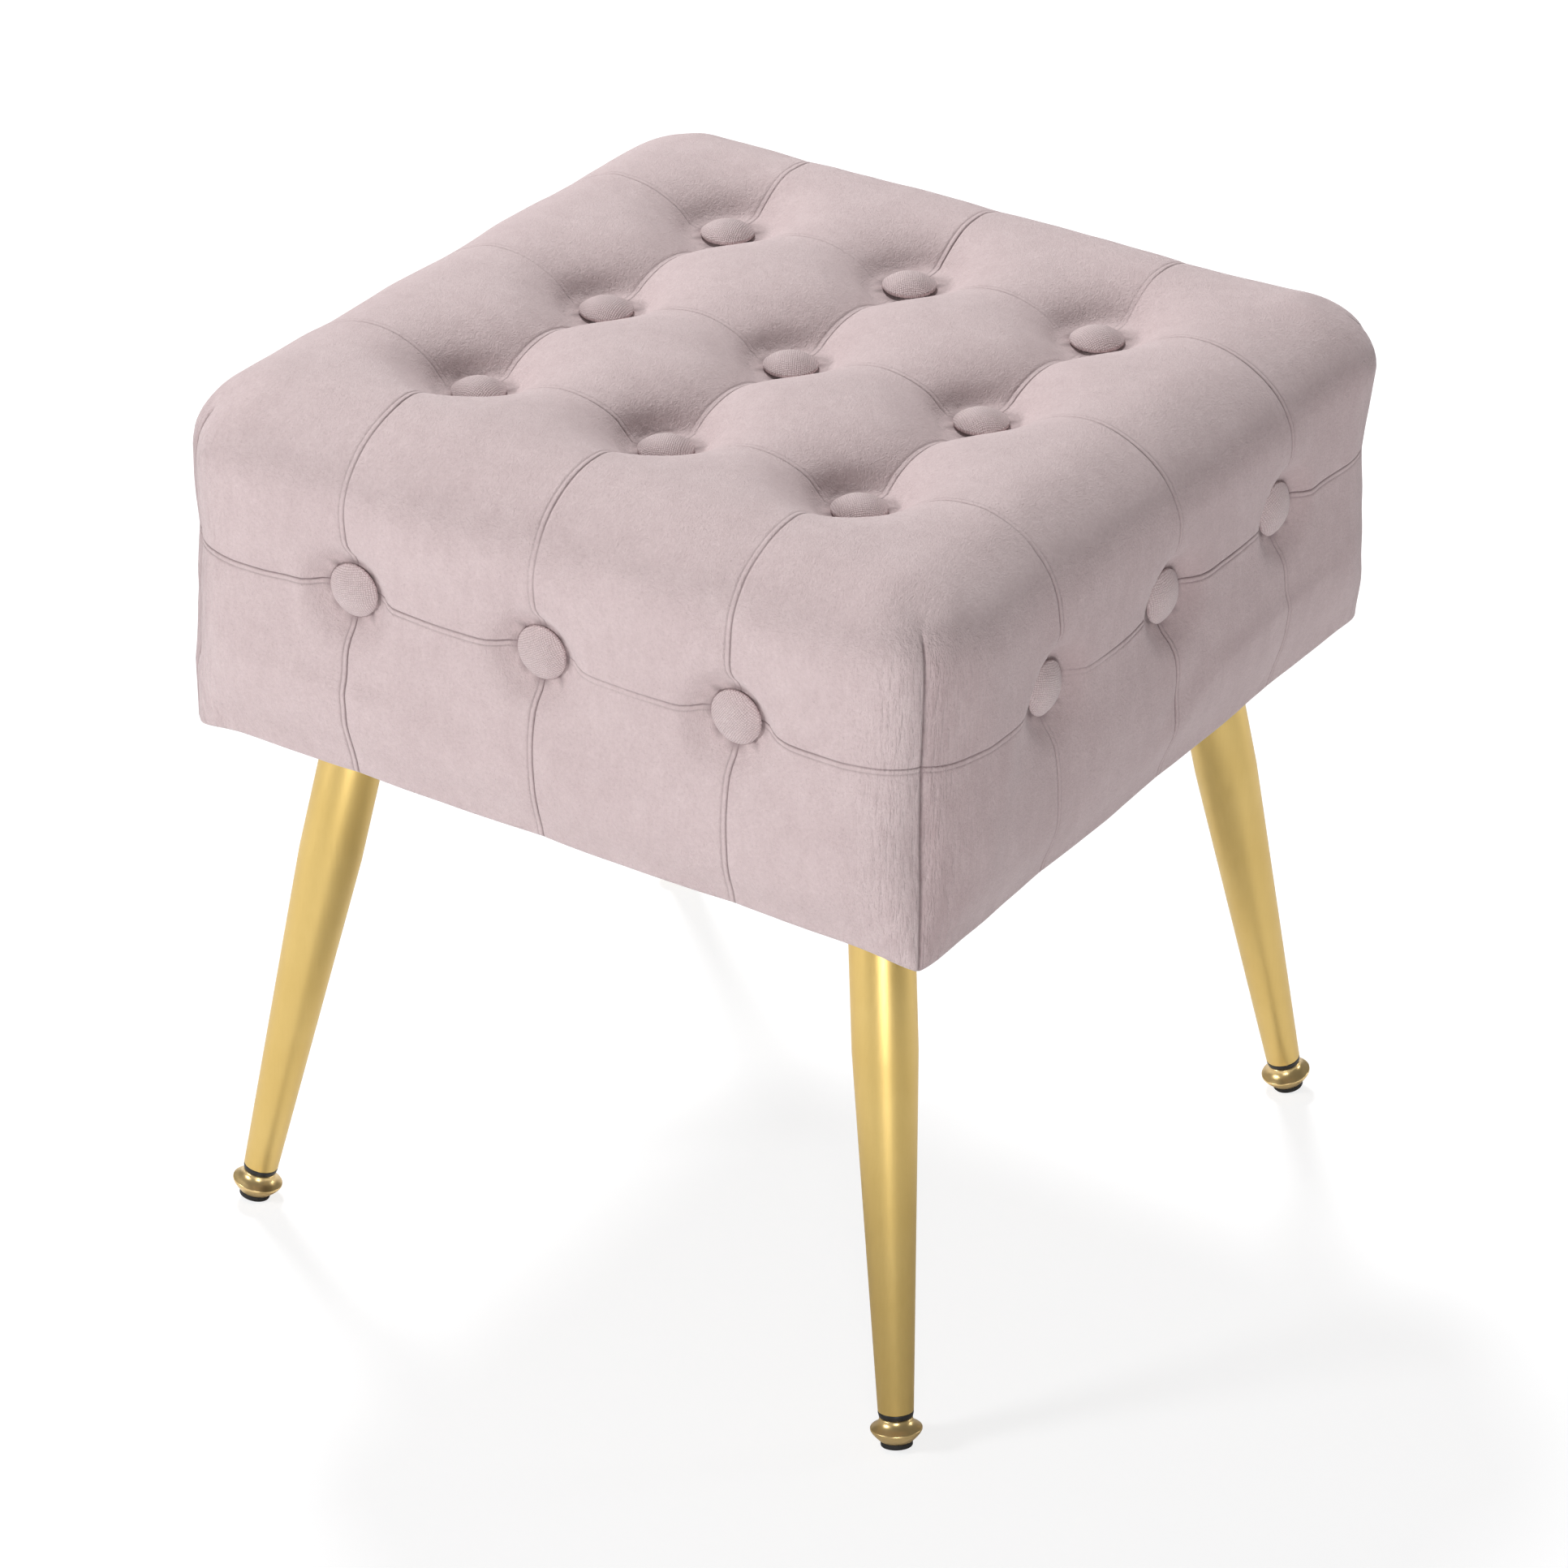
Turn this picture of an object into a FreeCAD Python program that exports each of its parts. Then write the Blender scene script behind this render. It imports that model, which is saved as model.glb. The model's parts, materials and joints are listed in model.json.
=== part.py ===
import FreeCAD, Part
import math
import os

os.makedirs("parts", exist_ok=True)

# Square tufted footstool, in millimetres. The origin is on the floor under the
# middle of the seat, +Z is up, the front is -Y and the right is +X.

# Overall sizes
seat_side = 400.0
seat_height = 441.0
cushion_height = 172.0

# Tufted cover
edge_round = 38.0
bottom_round = 6.0
side_bulge = 8.0
corner_draw = 5.0
button_inset = 98.0
side_button_drop = 53.0
top_tuft_share = 0.245
side_tuft_share = 0.147
hem_crown_share = 0.35
cover_floor = 5.0
cover_wall = 13.0
turn_in_thickness = 2.0
turn_in_width = 12.0
tuft_curve = 0.85
crown_power = 2.6
corner_power = 6
hem_power = 3
inner_ring_shares = (0.12, 0.28, 0.5, 0.72, 0.88, 1.0)
outer_ring_shares = (0.18, 0.42, 0.7, 1.0)
edge_ring_shares = (0.25, 0.5, 0.75, 1.0)
upper_ring_shares = (0.35, 0.7, 1.0)
lower_ring_shares = (0.12, 0.3, 0.6, 1.0)
hem_ring_shares = (0.5, 1.0)
cell_chords = 8

# Covered buttons
button_diameter = 25.4
button_rim = 2.6
button_dome = 4.6
button_shoulder_share = 0.68
button_sides = 16
button_seat_rise_top = 5.0
button_seat_rise_side = 4.0
button_back_diameter = 18.0
button_back_thickness = 1.2
shank_diameter = 4.0
shank_length = 2.6
twine_diameter = 1.6
twine_hole_diameter = 8.0
washer_diameter = 18.0
washer_thickness = 1.6
knot_diameter = 5.0
knot_height = 3.0

# Padding and frame
seat_foam_thickness = 25.0
side_foam_thickness = 10.0
deck_thickness = 12.0
base_thickness = 12.0
rail_thickness = 18.0
block_clearance = 1.0
dust_cloth_thickness = 0.6
dust_cloth_margin = 1.0

# Screws and staples: small and hidden pieces have few sides
small_sides = 6
wood_screw_diameter = 4.0
wood_screw_head = 8.0
wood_screw_head_depth = 2.6
rail_screw_length = 46.0
rail_screw_spread = 50.0
board_screw_length = 34.0
plate_screw_diameter = 4.2
plate_screw_length = 12.5
plate_screw_head = 8.0
plate_screw_head_height = 2.2
plate_screw_clearance = 0.3
staple_width = 10.0
staple_wire = 1.0
staple_depth = 8.0
staples_on_a_side = 4
cover_staple_end_gap = 56.0
dust_staple_end_gap = 36.0

# Legs
leg_inset = 59.0
leg_splay_deg = 12.5
leg_diameter = 30.0
leg_straight_length = 82.0
leg_end_diameter = 16.5
leg_wall = 1.5
leg_end_wall = 1.2
leg_sides = 24
plate_side = 50.0
plate_thickness = 2.5
plate_corner_cut = 5.0
plate_hole_spacing = 37.0

# Levelling feet, screwed into plugs in the leg ends
foot_sides = 20
plug_collar_length = 2.8
plug_collar_end_diameter = 15.6
plug_shank_length = 20.0
plug_shank_clearance = 0.3
stud_diameter = 8.0
stud_clearance = 0.06
stud_reach = 18.0
stud_seat_depth = 5.0
foot_gap = 0.15
disc_top_diameter = 15.4
disc_diameter = 24.0
disc_neck_drop = 3.2
disc_neck_diameter = 18.4
disc_rim_drop = 5.9
disc_rim_height = 1.0
disc_base_diameter = 15.6
disc_height = 11.4
pad_diameter = 14.8
pad_thickness = 2.7
pad_pin_diameter = 5.0
pad_pin_length = 4.0
pad_pin_clearance = 0.06
pad_pin_end_gap = 0.3
pad_flat_depth = 0.5

# One overrun for every cut
overrun = 20.0

Vector = FreeCAD.Vector
origin = Vector(0, 0, 0)
up = Vector(0, 0, 1)

# Levels and half widths worked out from the sizes above
seat_half = seat_side / 2
button_pitch = seat_half - button_inset
top_tuft_depth = button_pitch * top_tuft_share
side_tuft_depth = button_pitch * side_tuft_share
underside_z = seat_height - cushion_height
side_button_z = seat_height - top_tuft_depth - side_button_drop
core_half = seat_half - edge_round
core_z = seat_height - edge_round
top_seat_z = seat_height - top_tuft_depth + button_seat_rise_top
side_seat = seat_half + side_bulge - side_tuft_depth + button_seat_rise_side
cavity_half = seat_half + side_bulge - side_tuft_depth - cover_wall
cavity_z = seat_height - top_tuft_depth - cover_floor
base_z = underside_z + turn_in_thickness
base_top_z = base_z + base_thickness
deck_top_z = cavity_z - seat_foam_thickness
deck_z = deck_top_z - deck_thickness
frame_half = cavity_half - side_foam_thickness
frame_inner_half = frame_half - rail_thickness
opening_half = cavity_half - turn_in_width
rail_line = (frame_half + frame_inner_half) / 2
dust_cloth_z = base_z - dust_cloth_thickness
plate_z = dust_cloth_z - plate_thickness
leg_offset = seat_half - leg_inset

SIDES = {"front": 0, "right": 90, "back": 180, "left": 270}
LEGS = {
    "front_left": (-1, -1),
    "front_right": (1, -1),
    "back_right": (1, 1),
    "back_left": (-1, 1),
}


def export(name, solids):
    """Write one node from a list of separate solids."""
    shape = solids[0] if len(solids) == 1 else Part.makeCompound(solids)
    if not shape.isValid():
        print("not valid:", name)
    shape.exportStep(os.path.join("parts", name + ".step"))
    print(name, len(shape.Solids), round(shape.Volume))


def block(low, high):
    """A box between two corners."""
    size = high.sub(low)
    return Part.makeBox(size.x, size.y, size.z, low)


def slab(half, low_z, high_z):
    """A square board centred on the origin."""
    return block(Vector(-half, -half, low_z), Vector(half, half, high_z))


def turned(profile, sides):
    """A form about Z from (radius, height) points, with so many flat sides."""
    faces = []
    for (first_radius, first_z), (last_radius, last_z) in zip(profile, profile[1:] + profile[:1]):
        if first_radius == last_radius == 0:
            continue
        for side in range(sides):
            turn, next_turn = [2 * math.pi * step / sides for step in (side, side + 1)]
            corners = [
                Vector(first_radius * math.cos(turn), first_radius * math.sin(turn), first_z),
                Vector(last_radius * math.cos(turn), last_radius * math.sin(turn), last_z),
            ]
            if last_radius:
                corners.append(Vector(last_radius * math.cos(next_turn), last_radius * math.sin(next_turn), last_z))
            if first_radius:
                corners.append(Vector(first_radius * math.cos(next_turn), first_radius * math.sin(next_turn), first_z))
            faces.append(Part.Face(Part.makePolygon(corners + corners[:1])))
    skin = Part.makeShell(faces)
    skin.sewShape()
    form = Part.makeSolid(skin).removeSplitter()
    return form if form.Volume > 0 else form.reversed()


def rod(start, direction, radius, length, sides):
    """A bar of so many sides from a start point along a direction."""
    bar = turned([(0, 0), (radius, 0), (radius, length), (0, length)], sides)
    return set_down(bar, start, direction)


def spin_to(side):
    """The turn that brings a place on the front round to another side."""
    return FreeCAD.Rotation(up, SIDES[side])


def set_down(shape, place, direction):
    """Stand a shape that was made on +Z at a place, pointing along a direction."""
    copy = shape.copy()
    copy.Placement = FreeCAD.Placement(place, FreeCAD.Rotation(up, direction))
    return copy


# The tufted cover

edge_arc = (edge_round - (top_tuft_depth + side_tuft_depth) / 4) * math.pi / 2
top_run = core_half - button_pitch
upper_drop = core_z - side_button_z
edge_cell = top_run + edge_arc + upper_drop
lower_drop = side_button_z - underside_z - bottom_round


def swell(share):
    """Height over a cell, nought at its pleats and one in its middle."""
    return max(0.0, 4 * share * (1 - share)) ** tuft_curve


def pillow(along, across, crown):
    """Padding between the buttons' level and the crown, as a share of the tuft's depth."""
    total = swell(along) ** crown_power + crown * swell(across) ** crown_power
    return (total / (1 + crown)) ** (1 / crown_power)


class Ring:
    """One line round the cushion, in cells from pleat to pleat.

    half and level place the core that the padding stands on, out and lift say how far
    the padding points sideways and upwards, along is the place down the cell, and bulge
    is how far the sides stand out beyond the hem there.
    """

    def __init__(self, half, level, turn, along, crown=1.0, bulge=side_bulge):
        self.half = half
        self.level = level
        self.out = math.sin(turn)
        self.lift = math.cos(turn)
        self.bulge = bulge * self.out
        self.depth = top_tuft_depth + (side_tuft_depth - top_tuft_depth) * turn / (math.pi / 2)
        self.along = along
        self.crown = crown
        self.on_top = turn == 0
        self.below = level < side_button_z

    def pad(self, across, draw=0.0):
        """Padding thickness outside the core, for a place across a cell."""
        return edge_round - self.depth * (1 - pillow(self.along, across, self.crown)) - draw

    def point(self, cell, share):
        """A point of the front side: cells run from left to right, share runs along each."""
        if cell in (-1, 0):
            x = min(self.half, button_pitch) * (cell + share) if self.on_top else button_pitch * (cell + share)
            pad = self.pad(abs(x) / button_pitch)
        else:
            outward = share if cell == 1 else 1 - share
            corner_across = 0.5 if self.below else min(self.along, 0.5)
            draw = corner_draw * self.out + self.bulge
            corner = self.half + self.pad(corner_across, draw) * self.out + self.bulge
            x = button_pitch + (corner - button_pitch) * outward
            x = x if cell == 1 else -x
            pad = self.pad(corner_across * outward, draw * outward ** corner_power)
        return Vector(x, -self.half - pad * self.out - self.bulge, self.level + pad * self.lift)

    def cells(self):
        """The cells that this ring crosses on one side."""
        inside = self.on_top and self.half <= button_pitch
        return (-1, 0) if inside else (-2, -1, 0, 1)

    def line(self, side, cell):
        """Points across one cell of a side, evenly spread."""
        spin = spin_to(side)
        return [spin.multVec(self.point(cell, step / cell_chords)) for step in range(cell_chords + 1)]


def cover_rings():
    """The rings from the middle button out over the top, down the sides and under the hem."""
    rings = []
    for share in inner_ring_shares:
        rings.append(Ring(button_pitch * share, core_z, 0, share))
    for share in outer_ring_shares:
        run = top_run * share
        rings.append(Ring(button_pitch + run, core_z, 0, run / edge_cell))
    for share in edge_ring_shares:
        run = top_run + edge_arc * share
        rings.append(Ring(core_half, core_z, share * math.pi / 2, run / edge_cell))
    for share in upper_ring_shares:
        run = top_run + edge_arc + upper_drop * share
        rings.append(Ring(core_half, core_z - upper_drop * share, math.pi / 2, run / edge_cell))
    for share in lower_ring_shares:
        crown = 1 + (hem_crown_share - 1) * share
        level = side_button_z - lower_drop * share
        bulge = side_bulge * (1 - share ** hem_power)
        rings.append(Ring(core_half, level, math.pi / 2, share / 2, crown, bulge))
    for share in hem_ring_shares:
        inset = bottom_round * (1 - math.cos(share * math.pi / 2))
        level = underside_z + bottom_round * (1 - math.sin(share * math.pi / 2))
        rings.append(Ring(core_half - inset, level, math.pi / 2, 0.5, hem_crown_share, 0))
    return rings


def facets(first_line, last_line):
    """Flat three-cornered faces between two lines of points, or a point and a line."""
    corners = []
    for step in range(cell_chords):
        near, far = last_line[step], last_line[step + 1]
        if len(first_line) == 1:
            corners.append([first_line[0], near, far])
            continue
        start, end = first_line[step], first_line[step + 1]
        if near.distanceToPoint(end) < far.distanceToPoint(start):
            corners += [[start, near, end], [end, near, far]]
        else:
            corners += [[start, near, far], [start, far, end]]
    return [Part.Face(Part.makePolygon(three + three[:1])) for three in corners]


def cover_form():
    """The closed outer form of the tufted cushion, with a flat underside."""
    rings = cover_rings()
    middle = [Vector(0, 0, core_z + edge_round - top_tuft_depth)]
    faces = []
    rim = []
    for side in SIDES:
        for cell in rings[0].cells():
            faces += facets(middle, rings[0].line(side, cell))
        for low, high in zip(rings, rings[1:]):
            for cell in low.cells():
                faces += facets(low.line(side, cell), high.line(side, cell))
            if low.cells() != high.cells():
                faces += facets(low.line(side, 0)[-1:], high.line(side, 1))
                faces += facets(low.line(side, -1)[:1], high.line(side, -2))
        for cell in rings[-1].cells():
            rim += rings[-1].line(side, cell)[:-1]
    faces.append(Part.Face(Part.makePolygon(rim + rim[:1])))
    skin = Part.makeShell(faces)
    skin.sewShape()
    form = Part.makeSolid(skin)
    return form if form.Volume > 0 else form.reversed()


def tufted_cover():
    """Velvet quilted over its wadding, hollow inside, with its hem turned in below."""
    cover = cover_form()
    cover = cover.cut(slab(cavity_half, base_z, cavity_z))
    return cover.cut(slab(opening_half, underside_z - overrun, base_z + overrun))


# Buttons and what ties them down

def button_places():
    """The side, the seat's middle and the outward direction of each button."""
    steps = (-button_pitch, 0, button_pitch)
    places = [("top", Vector(x, y, top_seat_z), up) for x in steps for y in steps]
    for side in SIDES:
        spin = spin_to(side)
        for x in steps:
            seat = spin.multVec(Vector(x, -side_seat, side_button_z))
            places.append((side, seat, spin.multVec(Vector(0, -1, 0))))
    return places


def button_cap():
    """A domed cap wrapped in velvet."""
    radius = button_diameter / 2
    dome_radius = (radius ** 2 + button_dome ** 2) / (2 * button_dome)
    shoulder = radius * button_shoulder_share
    crown_z = button_rim + button_dome
    shoulder_z = crown_z - dome_radius + math.sqrt(dome_radius ** 2 - shoulder ** 2)
    profile = [(0, 0), (radius, 0), (radius, button_rim), (shoulder, shoulder_z), (0, crown_z)]
    return turned(profile, button_sides)


def button_back():
    """The metal disc under a cap, with the shank that the twine is tied to."""
    foot = -button_back_thickness
    return turned([
        (0, 0),
        (button_back_diameter / 2, 0),
        (button_back_diameter / 2, foot),
        (shank_diameter / 2, foot),
        (shank_diameter / 2, foot - shank_length),
        (0, foot - shank_length),
    ], small_sides)


def tie_length(side):
    """From a button's seat to the far face of the board that its twine pulls against."""
    return top_seat_z - deck_z if side == "top" else side_seat - frame_inner_half


def button_twine(side):
    """Waxed twine from the shank through padding and board, knotted behind its washer."""
    start = -button_back_thickness - shank_length
    knot = -tie_length(side) - washer_thickness
    return turned([
        (0, start),
        (twine_diameter / 2, start),
        (twine_diameter / 2, knot),
        (knot_diameter / 2, knot),
        (knot_diameter / 2, knot - knot_height),
        (0, knot - knot_height),
    ], small_sides)


def twine_washer(side):
    """The washer that spreads the twine's pull over the board."""
    near = -tie_length(side)
    far = near - washer_thickness
    hole = twine_diameter / 2
    rim = washer_diameter / 2
    return turned([(hole, near), (rim, near), (rim, far), (hole, far)], small_sides)


def twine_holes(side):
    """Bars that drill the twine holes of one side through the board there."""
    radius = twine_hole_diameter / 2
    length = tie_length(side) + overrun
    bars = [rod(seat, outward.negative(), radius, length, small_sides)
            for place_side, seat, outward in button_places() if place_side == side]
    return Part.makeCompound(bars)


# Padding and frame

def side_pad(side):
    """A sheet of foam glued to the outside of a rail."""
    front = side in ("front", "back")
    half = cavity_half if front else frame_half
    low = Vector(-half, -cavity_half, base_top_z)
    high = Vector(half, -frame_half, deck_top_z)
    pad = block(low, high)
    pad.rotate(origin, up, SIDES[side])
    return pad


def rail(side):
    """A side rail: the front and back ones cover the ends of the other two."""
    front = side in ("front", "back")
    half = frame_half if front else frame_inner_half
    low = Vector(-half, -frame_half, base_top_z)
    high = Vector(half, -frame_inner_half, deck_z)
    board = block(low, high)
    board.rotate(origin, up, SIDES[side])
    return board.cut(twine_holes(side))


def corner_block(sign_x, sign_y):
    """A glued triangular block in a corner of the frame."""
    block_leg = frame_inner_half - button_pitch - washer_diameter / 2 - block_clearance
    corner = Vector(sign_x * frame_inner_half, sign_y * frame_inner_half, base_top_z)
    along_x = corner.sub(Vector(sign_x * block_leg, 0, 0))
    along_y = corner.sub(Vector(0, sign_y * block_leg, 0))
    face = Part.Face(Part.makePolygon([corner, along_x, along_y, corner]))
    return face.extrude(Vector(0, 0, deck_z - base_top_z))


def leg_plate_screw_places():
    """Where the screws of every leg plate go in, on the underside."""
    places = []
    for sign_x, sign_y in LEGS.values():
        for step_x in (-1, 1):
            for step_y in (-1, 1):
                x = sign_x * leg_offset + step_x * plate_hole_spacing / 2
                y = sign_y * leg_offset + step_y * plate_hole_spacing / 2
                places.append(Vector(x, y, plate_z))
    return places


# Screws and staples

def wood_screw(length):
    """A countersunk screw along -Z, its head flush with Z nought."""
    shank = wood_screw_diameter / 2
    return turned([
        (0, 0),
        (wood_screw_head / 2, 0),
        (shank, -wood_screw_head_depth),
        (shank, shank - length),
        (0, -length),
    ], small_sides)


def rail_screws():
    """Screws through the front and back rails into the ends of the side rails."""
    middle_z = (base_top_z + deck_z) / 2
    screws = []
    for side in ("front", "back"):
        spin = spin_to(side)
        outward = spin.multVec(Vector(0, -1, 0))
        for x in (-rail_line, rail_line):
            for z in (middle_z - rail_screw_spread / 2, middle_z + rail_screw_spread / 2):
                place = spin.multVec(Vector(x, -frame_half, z))
                screws.append(set_down(wood_screw(rail_screw_length), place, outward))
    return screws


def board_screws(level, direction):
    """Screws through a board into the edges of the rails, midway between the buttons."""
    screws = []
    for side in SIDES:
        for x in (-button_pitch / 2, button_pitch / 2):
            place = spin_to(side).multVec(Vector(x, -rail_line, level))
            screws.append(set_down(wood_screw(board_screw_length), place, direction))
    return screws


def leg_plate_screws():
    """Pan-head screws that hold the leg plates up against the base board."""
    shank = plate_screw_diameter / 2
    head = plate_screw_head / 2
    screw = turned([
        (0, plate_screw_head_height),
        (head, plate_screw_head_height),
        (head, 0),
        (shank, 0),
        (shank, -plate_screw_length),
        (0, -plate_screw_length),
    ], small_sides)
    return [set_down(screw, place, up.negative()) for place in leg_plate_screw_places()]


def staples(line, level, run):
    """Staples driven up into the base board in a row along each side."""
    half = staple_width / 2
    wire = staple_wire / 2
    crown = block(Vector(-half, -wire, -staple_wire), Vector(half, wire, 0))
    left = block(Vector(-half, -wire, 0), Vector(staple_wire - half, wire, staple_depth))
    right = block(Vector(half - staple_wire, -wire, 0), Vector(half, wire, staple_depth))
    staple = crown.fuse(left).fuse(right).removeSplitter()
    row = []
    for side in SIDES:
        for rank in range(staples_on_a_side):
            one = staple.copy()
            one.translate(Vector(run * (2 * rank / (staples_on_a_side - 1) - 1), -line, level))
            one.rotate(origin, up, SIDES[side])
            row.append(one)
    return row


# Legs and levelling feet

splay = math.radians(leg_splay_deg)
pad_middle_z = pad_diameter / 2 * math.sin(splay) - pad_flat_depth
leg_axis_length = (plate_z - pad_middle_z) / math.cos(splay)
foot_length = plug_collar_length + foot_gap + disc_height + foot_gap + pad_thickness
tube_length = leg_axis_length - foot_length


def leg_frame(sign_x, sign_y):
    """The point where a leg's middle line leaves its plate, and the line's direction."""
    start = Vector(sign_x * leg_offset, sign_y * leg_offset, plate_z)
    lean = math.sin(splay) / math.sqrt(2)
    return start, Vector(sign_x * lean, sign_y * lean, -math.cos(splay))


def on_leg(shape, sign_x, sign_y, drop):
    """Set a shape made on +Z on a leg's line, so far down from the plate."""
    start, down = leg_frame(sign_x, sign_y)
    return set_down(shape, start.add(down * drop), down)


def leg_tube(sign_x, sign_y):
    """A steel tube, straight at first and then tapering, cut off level under its plate."""
    top = -leg_diameter
    radius = leg_diameter / 2
    end_radius = leg_end_diameter / 2
    tube = turned([
        (radius, top),
        (radius, leg_straight_length),
        (end_radius, tube_length),
        (end_radius - leg_end_wall, tube_length),
        (radius - leg_wall, leg_straight_length),
        (radius - leg_wall, top),
    ], leg_sides)
    tube = on_leg(tube, sign_x, sign_y, 0)
    return tube.cut(slab(seat_side, plate_z, seat_height))


def leg_plate(sign_x, sign_y):
    """The plate welded to a leg, with a hole for a screw in each corner."""
    half = plate_side / 2
    centre = Vector(sign_x * leg_offset, sign_y * leg_offset, plate_z)
    plate = block(Vector(-half, -half, 0), Vector(half, half, plate_thickness))
    corners = [edge for edge in plate.Edges if abs(edge.tangentAt(edge.FirstParameter).z) > 0.5]
    plate = plate.makeChamfer(plate_corner_cut, corners)
    plate.translate(centre)
    radius = plate_screw_diameter / 2 + plate_screw_clearance
    holes = [rod(place, up, radius, plate_thickness, small_sides) for place in leg_plate_screw_places()]
    return plate.cut(Part.makeCompound(holes))


def foot_plug():
    """The black plug pressed into a leg's end, threaded for the foot's stud."""
    bore = stud_diameter / 2 + stud_clearance
    shank = leg_end_diameter / 2 - leg_end_wall - plug_shank_clearance
    return turned([
        (bore, -plug_shank_length),
        (shank, -plug_shank_length),
        (shank, 0),
        (leg_end_diameter / 2, 0),
        (plug_collar_end_diameter / 2, plug_collar_length),
        (bore, plug_collar_length),
    ], foot_sides)


def glide_disc():
    """The brass disc turned by hand: hollowed above its rim, coned below it."""
    pin = pad_pin_diameter / 2 + pad_pin_clearance
    pin_depth = pad_pin_length - foot_gap + pad_pin_end_gap
    disc = turned([
        (0, 0),
        (disc_top_diameter / 2, 0),
        (disc_neck_diameter / 2, disc_neck_drop),
        (disc_diameter / 2, disc_rim_drop - disc_rim_height / 2),
        (disc_diameter / 2, disc_rim_drop + disc_rim_height / 2),
        (disc_base_diameter / 2, disc_height),
        (pin, disc_height),
        (pin, disc_height - pin_depth),
        (0, disc_height - pin_depth),
    ], foot_sides)
    return disc.cut(Part.makeCylinder(stud_diameter / 2, stud_seat_depth, origin, up))


def glide_stud():
    """The threaded stud fixed in a disc, reaching up into the leg's plug."""
    foot = Vector(0, 0, -stud_reach)
    return Part.makeCylinder(stud_diameter / 2, stud_reach + stud_seat_depth, foot, up)


def foot_pad(sign_x, sign_y):
    """The rubber pad on its pin, pressed flat where it meets the floor."""
    pin = pad_pin_diameter / 2
    rim = pad_diameter / 2
    pad = turned([
        (0, -pad_pin_length),
        (pin, -pad_pin_length),
        (pin, 0),
        (rim, 0),
        (rim, pad_thickness),
        (0, pad_thickness),
    ], foot_sides)
    pad = on_leg(pad, sign_x, sign_y, leg_axis_length - pad_thickness)
    return pad.cut(slab(seat_side, -overrun, 0))


# Write every node

places = button_places()

export("tufted_cover", [tufted_cover()])
export("seat_foam", [slab(cavity_half, deck_top_z, cavity_z)])
export("deck_board", [slab(frame_half, deck_z, deck_top_z).cut(twine_holes("top"))])
export("base_board", [slab(cavity_half, base_z, base_top_z)])
export("dust_cloth", [slab(opening_half - dust_cloth_margin, dust_cloth_z, base_z)])
for side in SIDES:
    export("side_foam_" + side, [side_pad(side)])
    export("rail_" + side, [rail(side)])

cap = button_cap()
back = button_back()
export("top_buttons", [set_down(cap, seat, out) for side, seat, out in places if side == "top"])
export("side_buttons", [set_down(cap, seat, out) for side, seat, out in places if side != "top"])
export("button_backs", [set_down(back, seat, out) for side, seat, out in places])
export("button_twines", [set_down(button_twine(side), seat, out) for side, seat, out in places])
export("twine_washers", [set_down(twine_washer(side), seat, out) for side, seat, out in places])

export("rail_screws", rail_screws())
export("deck_screws", board_screws(deck_top_z, up))
export("base_screws", board_screws(base_z, up.negative()))
export("leg_plate_screws", leg_plate_screws())
hem_line = cavity_half - turn_in_width / 2
cloth_line = opening_half - dust_cloth_margin - staple_width / 2
cloth_run = leg_offset - plate_side / 2 - dust_staple_end_gap
export("cover_staples", staples(hem_line, underside_z, cavity_half - cover_staple_end_gap))
export("dust_staples", staples(cloth_line, dust_cloth_z, cloth_run))

plugs = []
for name, (sign_x, sign_y) in LEGS.items():
    disc_drop = tube_length + plug_collar_length + foot_gap
    export("corner_block_" + name, [corner_block(sign_x, sign_y)])
    export("leg_plate_" + name, [leg_plate(sign_x, sign_y)])
    export("leg_tube_" + name, [leg_tube(sign_x, sign_y)])
    plugs.append(on_leg(foot_plug(), sign_x, sign_y, tube_length))
    export("glide_disc_" + name, [on_leg(glide_disc(), sign_x, sign_y, disc_drop)])
    export("glide_stud_" + name, [on_leg(glide_stud(), sign_x, sign_y, disc_drop)])
    export("foot_pad_" + name, [foot_pad(sign_x, sign_y)])
export("foot_plugs", plugs)
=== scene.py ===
import json
from math import cos, pi, radians, sin, sqrt

import bpy
import numpy as np
from mathutils import Matrix, Vector, noise

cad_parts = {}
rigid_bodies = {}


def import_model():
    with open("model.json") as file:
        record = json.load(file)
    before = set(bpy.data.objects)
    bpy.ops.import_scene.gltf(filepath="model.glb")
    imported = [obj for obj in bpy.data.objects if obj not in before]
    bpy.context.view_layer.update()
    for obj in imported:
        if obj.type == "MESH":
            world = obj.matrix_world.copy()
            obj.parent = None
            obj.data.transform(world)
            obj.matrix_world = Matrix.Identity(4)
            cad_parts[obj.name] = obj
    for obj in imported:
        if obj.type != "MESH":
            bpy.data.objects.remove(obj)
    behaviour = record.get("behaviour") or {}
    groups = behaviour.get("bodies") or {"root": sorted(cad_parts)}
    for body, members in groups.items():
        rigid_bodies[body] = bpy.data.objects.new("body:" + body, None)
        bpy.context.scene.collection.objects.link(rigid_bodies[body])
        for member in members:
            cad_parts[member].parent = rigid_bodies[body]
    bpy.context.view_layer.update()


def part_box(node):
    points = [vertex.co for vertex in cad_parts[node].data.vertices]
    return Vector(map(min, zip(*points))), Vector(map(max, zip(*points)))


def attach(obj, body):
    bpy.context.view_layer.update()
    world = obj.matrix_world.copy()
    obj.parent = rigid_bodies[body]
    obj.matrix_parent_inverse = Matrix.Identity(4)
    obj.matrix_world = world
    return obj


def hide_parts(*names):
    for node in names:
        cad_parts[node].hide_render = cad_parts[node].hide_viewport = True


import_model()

mm = 0.001

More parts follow.
